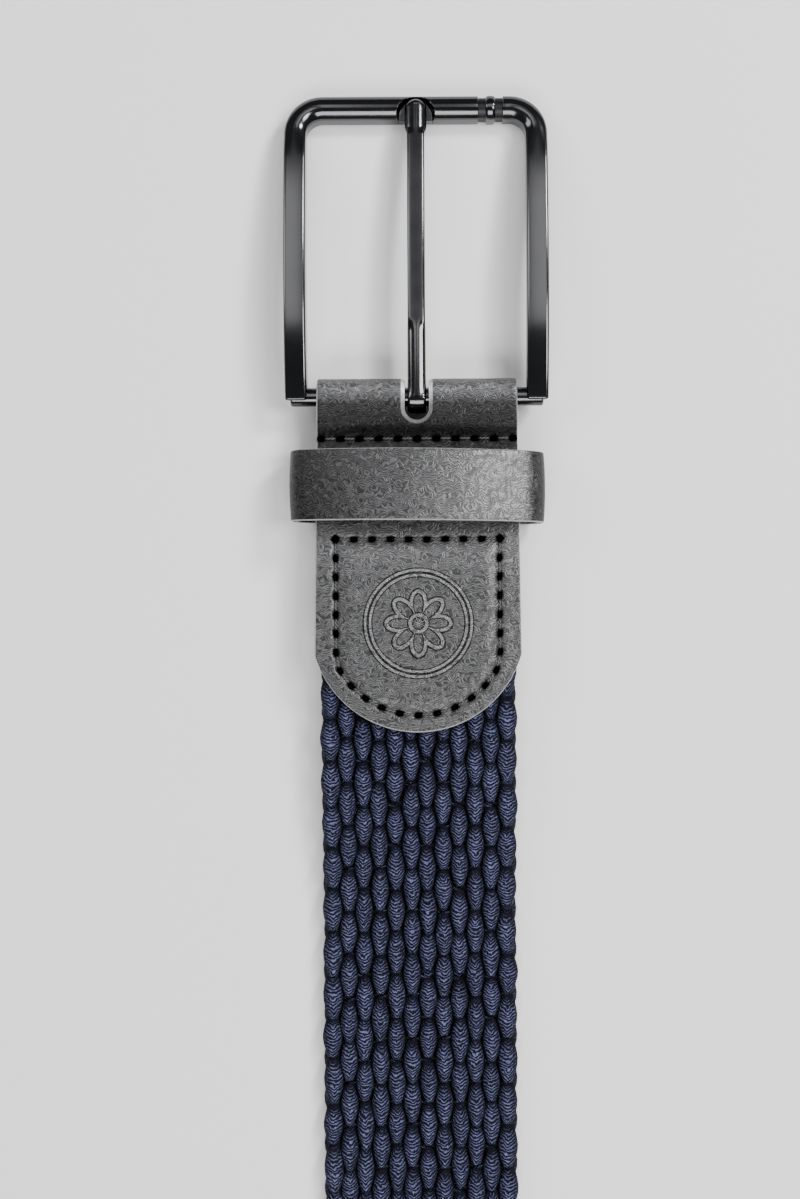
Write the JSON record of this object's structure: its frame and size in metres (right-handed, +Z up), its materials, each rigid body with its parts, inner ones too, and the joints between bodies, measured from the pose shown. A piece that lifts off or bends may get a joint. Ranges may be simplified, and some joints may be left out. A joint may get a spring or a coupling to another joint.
{
  "type": "braided belt",
  "caption": "Flat braided belt lying open, with a bowed rectangular prong buckle on a folded leather tab, a loose leather keeper loop and a plain leather end tab.",
  "frame": {"origin": "on the floor, under the middle of the whole belt's length and width", "axes": "+Y along the belt towards the buckle, +X across it to the right as the picture shows it, +Z up out of its face"},
  "size_m": [0.0482, 1.0554, 0.0144],
  "materials": {
    "navy_cord": "matt braided cord",
    "black_leather": "semi-matt, fine grain",
    "gunmetal": "polished dark nickel"
  },
  "bodies": {
    "strap": {"braid": "navy_cord", "buckle_tab": "black_leather", "keeper_loop": "black_leather", "end_tab_front": "black_leather", "end_tab_back": "black_leather"},
    "frame": {"buckle_frame": "gunmetal"},
    "prong": {"prong": "gunmetal"}
  },
  "joints": [
    {"name": "frame_hinge", "type": "hinge", "parent": "strap", "child": "frame", "pos_m": [0, 0.4723, 0.0051], "axis": [1, 0, 0], "range_deg": [-90, 10]},
    {"name": "prong_hinge", "type": "hinge", "parent": "frame", "child": "prong", "pos_m": [0, 0.4723, 0.0051], "axis": [1, 0, 0], "range_deg": [0, 85]}
  ]
}
